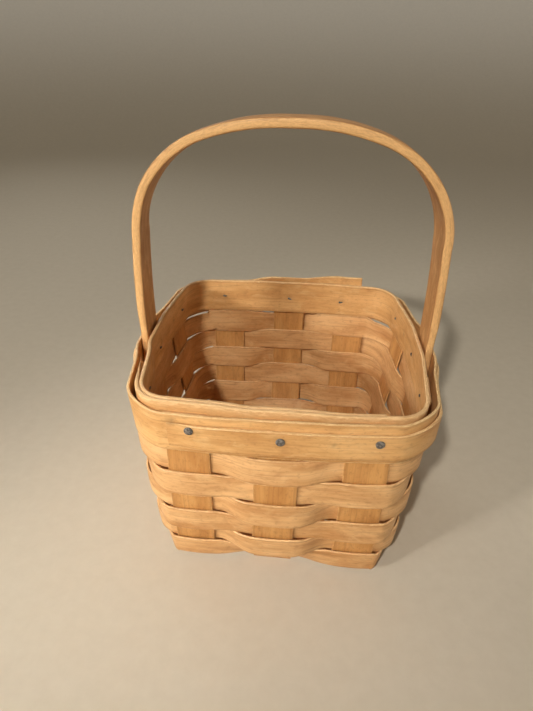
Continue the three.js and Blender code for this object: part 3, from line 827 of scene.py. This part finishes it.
def outer_way():
    """The outer band's line, end to end round the front left corner."""
    z = OUTER_BOTTOM + OUTER_HEIGHT / 2
    stops = []
    for number in range(STAKE_COUNT):
        wall, slot, n = stake_at(number)
        layer = 1 if number in BACKING_LAP_STAKES else 0
        half = ACROSS_HANDLE if is_leg_stop(wall, slot) else ACROSS_STAKE
        start = -OUTER_END if number == 0 else -half
        end = OUTER_END if number == STAKE_COUNT - 1 else half
        offset = OUTER_OFFSET + backing_extra(number, layer)
        stops.append(dict(wall=wall, place=rim_frame(wall, slot), z=z, offset=offset,
                          run=(start, end), lean=math.radians(BAND_LEAN.get(n, 0))))
    return ring_way(stops, OUTER_FULLNESS)


def nail_place(wall, slot):
    """Where a nail goes in, its way along the wall and its way out."""
    place = rim_frame(wall, slot)
    order = slot + 1
    origin = place["centre"] + place["along"] * NAIL_SHIFT[wall["name"]][order]
    origin.z = NAIL_LEVEL + NAIL_LIFT[wall["name"]][order]
    return origin, place["along"], place["out"]


NAIL_SPOTS = [nail_place(wall, slot) for wall in WALLS for slot in SLOTS]
SMUDGE = NAIL_SPOTS[0][0] + Vector((-8, 0, 3.4))


def nail_stain(point):
    """Dark bloom in the wood close round each nail, and a grey smudge beside the first."""
    near = min((point - spot[0]).cross(spot[2]).length for spot in NAIL_SPOTS)
    bloom = BLOOM_STRENGTH * max(0.0, 1 - near / BLOOM_SIZE) ** 1.5
    out = NAIL_SPOTS[0][2]
    if (point - SMUDGE).dot(out) < 0:
        return bloom
    away = (point - SMUDGE).cross(out).length
    return max(bloom, SMUDGE_STRENGTH * max(0.0, 1 - away / SMUDGE_SIZE))


def shaved_ends(length):
    """The inner band's first end runs out under the lap, and its last end is thinned over it."""
    def shape(s, y, z):
        start = smooth(min(s / INNER_START_SHAVED, 1))
        end = smooth(min((length - s) / INNER_END_SHAVED, 1))
        left = min(INNER_START_LEFT + (1 - INNER_START_LEFT) * start,
                   INNER_END_LEFT + (1 - INNER_END_LEFT) * end)
        return y, (z + INNER_THICKNESS / 2) * left - INNER_THICKNESS / 2
    return shape


def rubbed_rim(s, y, z):
    """The inner band's top and the part of its outer face that stands clear, sanded pale."""
    above = share((y - INNER_HEIGHT / 2 + RIM_SANDED) / RIM_SANDED_FADE)
    on_top = share((y - INNER_HEIGHT / 2 + RIM_TOP_SANDED) / RIM_TOP_FADE)
    return above if z < 0 else on_top


def feathered(length):
    """The outer band's two ends are shaved thin, so that they lie close."""
    def shape(s, y, z):
        full = smooth(share(min(s, length - s) / OUTER_END_SHAVED))
        left = OUTER_END_LEFT + (1 - OUTER_END_LEFT) * full
        return y, OUTER_THICKNESS / 2 - (OUTER_THICKNESS / 2 - z) * left
    return shape


hoop = inner_way()
bent_strip("rim_inner_band", hoop, INNER_HEIGHT, INNER_THICKNESS, seed=41,
           slot="band_wood", edge=0.5, rows=8, wander=0.08, ruffle=0.12, stain=nail_stain,
           rubbed=rubbed_rim, shape=shaved_ends(hoop.lengths[-1]))
bent_strip("rim_backing_strip", backing_way(), BACKING_HEIGHT, BACKING_THICKNESS, seed=42,
           slot="band_wood", edge=0.32, rows=8, wander=0.06, ruffle=0.14, stain=nail_stain)
band_line = outer_way()
bent_strip("rim_outer_band", band_line, OUTER_HEIGHT, OUTER_THICKNESS, seed=43,
           slot="band_wood", edge=0.4, rows=6, wander=0.05, ruffle=0.1, stain=nail_stain,
           shape=feathered(band_line.lengths[-1]))


# Handle

def handle_way():
    """A leg up from the rim, a shoulder arc, the crown arc and down again."""
    leg = rim_frame(WALLS[1], 0)["distance"] + LEG_OFFSET
    crown_height = INNER_TOP + HANDLE_RISE - HANDLE_THICKNESS / 2
    crown_middle = crown_height - CROWN_RADIUS
    shoulder_x = leg - HANDLE_LEAN - SHOULDER_RADIUS
    turn = math.asin((shoulder_x - CROWN_FLAT / 2) / (CROWN_RADIUS - SHOULDER_RADIUS))
    shoulder_z = crown_middle + (CROWN_RADIUS - SHOULDER_RADIUS) * math.cos(turn)
    half = [Vector((CROWN_FLAT / 2, 0, crown_height))]
    for i in range(1, CROWN_STEPS + 1):
        a = turn * i / CROWN_STEPS
        x = CROWN_FLAT / 2 + CROWN_RADIUS * math.sin(a)
        half.append(Vector((x, 0, crown_middle + CROWN_RADIUS * math.cos(a))))
    for i in range(1, SHOULDER_STEPS + 1):
        a = turn + (math.pi / 2 - turn) * i / SHOULDER_STEPS
        x = shoulder_x + SHOULDER_RADIUS * math.sin(a)
        half.append(Vector((x, 0, shoulder_z + SHOULDER_RADIUS * math.cos(a))))
    top, bottom = shoulder_z, INNER_TOP + HANDLE_LEAN
    for i in range(1, LEG_STEPS + 1):
        t = i / LEG_STEPS
        x = leg - HANDLE_LEAN * (1 - t) ** 2 * (1 - LEG_STRAIGHTENS * t)
        half.append(Vector((x, 0, top + (bottom - top) * t)))
    foot = INNER_BOTTOM + LEG_INSET
    for i in range(1, FOOT_STEPS + 1):
        half.append(Vector((leg, 0, bottom + (foot - bottom) * i / FOOT_STEPS)))
    line = [Vector((-p.x, 0, p.z)) for p in reversed(half)] + half
    widths = []
    for i, point in enumerate(line):
        along = (line[min(i + 1, len(line) - 1)] - line[max(i - 1, 0)]).normalized()
        twist = math.radians(handle_twist(i / (len(line) - 1)))
        level = -TO_FRONT
        widths.append(level * math.cos(twist) + level.cross(along) * math.sin(twist))
    return Way(line, widths)


def handle_twist(place):
    """How many degrees the handle is out of true at a share of its length."""
    for (a, low), (b, high) in zip(HANDLE_TWIST, HANDLE_TWIST[1:]):
        if place <= b:
            return low + (high - low) * smooth((place - a) / (b - a))
    return HANDLE_TWIST[-1][1]


def thicker_above(length):
    """The handle keeps its full thickness above the rim and is thinned where its legs go in."""
    def shape(s, y, z):
        free = share((min(s, length - s) - SWELL_START) / SWELL_RUN)
        swell = HANDLE_SWELL * smooth(free)
        return y, z - swell * (0.5 - z / HANDLE_THICKNESS)
    return shape


arch = handle_way()
bent_strip("handle", arch, HANDLE_WIDTH, HANDLE_THICKNESS, seed=51, slot="handle_wood",
           edge=0.8, rows=8, wander=0.1, ruffle=0.12, cup=0.1,
           shape=thicker_above(arch.lengths[-1]))


# Nails

def nail(number):
    """A tack driven by hand: a hammered round head, its shank, and its point bent over inside."""
    wall, slot, number = stake_at(number)
    origin, along, out = NAIL_SPOTS[number]
    layer = 1 if number in BACKING_LAP_STAKES else 0
    seat = OUTER_OFFSET + OUTER_THICKNESS / 2 + backing_extra(number, layer) + NAIL_FIT
    doubled = INNER_THICKNESS + SNUG if number in INNER_LAP_STAKES else 0
    tail = -INNER_OFFSET - INNER_THICKNESS / 2 - doubled - NAIL_FIT
    bm = bmesh.new()
    bmesh.ops.create_circle(bm, cap_ends=True, segments=SHANK_SIDES, radius=SHANK_RADIUS)
    bmesh.ops.translate(bm, verts=bm.verts[:], vec=(0, 0, tail))
    foot = bm.faces[:][0]

    def pull(face, keep=False):
        """Draws a face out on new sides, and takes the old face away unless it is kept."""
        made = bmesh.ops.extrude_face_region(bm, geom=[face])["geom"]
        if not keep:
            bmesh.ops.delete(bm, geom=[face], context="FACES_ONLY")
        moved = [g for g in made if isinstance(g, bmesh.types.BMVert)]
        return next(g for g in made if isinstance(g, bmesh.types.BMFace)), moved

    def grow(face, move, scale, keep=False):
        """Draws a face out by a distance and sizes it."""
        end, verts = pull(face, keep)
        middle = sum((v.co for v in verts), Vector()) / len(verts)
        for v in verts:
            v.co = middle + Vector(move) + (v.co - middle) * scale
        return end

    head = grow(foot, (0, 0, seat - tail), 1, keep=True)
    radius = SHANK_RADIUS
    for level, wide in HEAD_RINGS:
        head = grow(head, (0, 0, level), wide / radius)
        radius = wide
    for v in bm.verts:
        if v.co.z > seat:
            wobble = noise.noise(v.co * 0.7 + Vector((number * 5.1, 0, 0)))
            v.co.x *= 1 + 0.09 * wobble
            v.co.y *= 1 - 0.07 * wobble
            v.co.z += 0.05 * noise.noise(v.co * 1.3 + Vector((0, number * 3.3, 0)))
    turn = Matrix.Rotation(math.radians(CLINCH_ANGLE), 3, "Y")
    for step in range(CLINCH_TURNS):
        foot, verts = pull(foot)
        bmesh.ops.rotate(bm, verts=verts, cent=(SHANK_RADIUS, 0, tail), matrix=turn)
    for length, size in POINT_TAPERS:
        foot = grow(foot, (length, 0, 0), size)
    for v in bm.verts:
        if v.co.z < tail:
            v.co.z = tail - (tail - v.co.z) * CLINCH_FLATTENED
    bmesh.ops.recalc_face_normals(bm, faces=bm.faces[:])
    spin = Matrix.Rotation(noise.noise(Vector((number * 2.3, 0.4, 0))) * 0.6, 3, "Z")
    basis = Matrix((-along, UP, out)).transposed()
    for v in bm.verts:
        v.co = (origin + basis @ (spin @ v.co)) * MM
    name = f"nail_{wall['name']}_{SLOT_NAMES[slot + 1]}"
    finish_piece(name, bm, STEEL, (name,))


for number in range(STAKE_COUNT):
    nail(number)


# Floor, light and camera

def pale_floor():
    """A wide flat floor that sweeps up all round into a softly lit wall, in one pale finish."""
    bm = bmesh.new()
    profile = [(0.0, 0.0), (FLOOR_FLAT, 0.0)]
    for i in range(1, COVE_STEPS + 1):
        a = math.pi / 2 * i / COVE_STEPS
        profile.append((FLOOR_FLAT + COVE_RADIUS * math.sin(a), COVE_RADIUS * (1 - math.cos(a))))
    profile.append((FLOOR_FLAT + COVE_RADIUS, WALL_TOP))
    verts = [bm.verts.new((x, 0, z)) for x, z in profile]
    edges = [bm.edges.new(pair) for pair in zip(verts, verts[1:])]
    bmesh.ops.spin(bm, geom=verts + edges, cent=(0, 0, 0), axis=(0, 0, 1), dvec=(0, 0, 0),
                   angle=2 * math.pi, steps=FLOOR_SIDES, use_merge=True)
    bmesh.ops.remove_doubles(bm, verts=bm.verts[:], dist=1e-5)
    bmesh.ops.recalc_face_normals(bm, faces=bm.faces[:])
    for face in bm.faces:
        face.smooth = True
        if face.normal.z < 0:
            face.normal_flip()
    mesh = bpy.data.meshes.new("pale_floor")
    bm.to_mesh(mesh)
    bm.free()
    f = Finish("pale_floor")
    where = f.node("ShaderNodeTexCoord").outputs["Object"]
    mottle = f.speckle(where, (140, 140, 140), 4, 0.6)
    f.feed(f.shader.inputs["Base Color"], f.blend(mottle, srgb(198, 185, 162), srgb(209, 197, 175)))
    height = f.node("ShaderNodeSeparateXYZ", {0: where}).outputs[2]
    f.shader.inputs["Emission Color"].default_value = srgb(214, 210, 200)
    f.feed(f.shader.inputs["Emission Strength"], f.ease(height, -0.02, 0.4, 0.0, 0.21))
    f.shader.inputs["Roughness"].default_value = 0.8
    f.shader.inputs["Specular IOR Level"].default_value = 0.15
    mesh.materials.append(f.material)
    floor = bpy.data.objects.new("pale_floor", mesh)
    bpy.context.scene.collection.objects.link(floor)
    floor.location.z = -FLOOR_DROP


def soft_lamp(name, place, aim, size, power, colour, beam=180):
    """A round lamp that the camera doesn't see, aimed at a point, with a beam in degrees."""
    data = bpy.data.lights.new(name, "AREA")
    data.shape = "DISK"
    data.size = size
    data.energy = power
    data.color = colour
    data.spread = math.radians(beam)
    lamp = bpy.data.objects.new(name, data)
    lamp.location = place
    lamp.rotation_euler = (Vector(aim) - Vector(place)).to_track_quat("-Z", "Y").to_euler()
    lamp.visible_camera = False
    bpy.context.scene.collection.objects.link(lamp)


def camera():
    """Stands where the photograph was taken from."""
    az, el, roll = (math.radians(a) for a in (CAMERA_ROUND, CAMERA_UP, CAMERA_ROLL))
    back = Vector((math.sin(az) * math.cos(el), -math.cos(az) * math.cos(el), math.sin(el)))
    right = (-back).cross(UP).normalized()
    up = right.cross(-back)
    tilted_right = right * math.cos(roll) + up * math.sin(roll)
    tilted_up = up * math.cos(roll) - right * math.sin(roll)
    data = bpy.data.cameras.new("camera")
    data.sensor_fit = "HORIZONTAL"
    data.sensor_width = SENSOR_WIDTH
    data.lens = FOCAL_PIXELS * SENSOR_WIDTH / PHOTO_PIXELS_WIDE
    data.clip_start = 0.01
    data.clip_end = 20
    seen = bpy.data.objects.new("camera", data)
    turned = Matrix((tilted_right, tilted_up, back)).transposed().to_4x4()
    place = CAMERA_TARGET + back * CAMERA_DISTANCE
    seen.matrix_world = Matrix.Translation(place * MM) @ turned
    bpy.context.scene.collection.objects.link(seen)
    bpy.context.scene.camera = seen


pale_floor()
soft_lamp("key_light", place=(-0.19, -0.64, 0.68), aim=(0, 0, 0.05), size=0.04, power=4.8,
          colour=WARM)
soft_lamp("left_light", place=(-0.5, -0.42, 0.3), aim=(-0.12, -0.08, 0.075), size=0.12,
          power=0.135, colour=WARM, beam=34)
soft_lamp("right_light", place=(1.0, 0.15, 0.1), aim=(0, 0, 0.1), size=0.25, power=0.14,
          colour=WARM, beam=60)
soft_lamp("back_light", place=(-0.75, 1.1, 0.55), aim=(0, 0, 0.08), size=0.5, power=0.4,
          colour=COOL, beam=60)
soft_lamp("top_light", place=(0, 0.3, 1.9), aim=(0, 0.3, 0), size=0.9, power=2.4, colour=SKY)
world = bpy.data.worlds.new("room")
world.use_nodes = True
world.node_tree.nodes["Background"].inputs["Color"].default_value = (0.92, 0.95, 1.0, 1)
world.node_tree.nodes["Background"].inputs["Strength"].default_value = 0.03
bpy.context.scene.world = world
bpy.context.scene.view_settings.view_transform = "Standard"
camera()
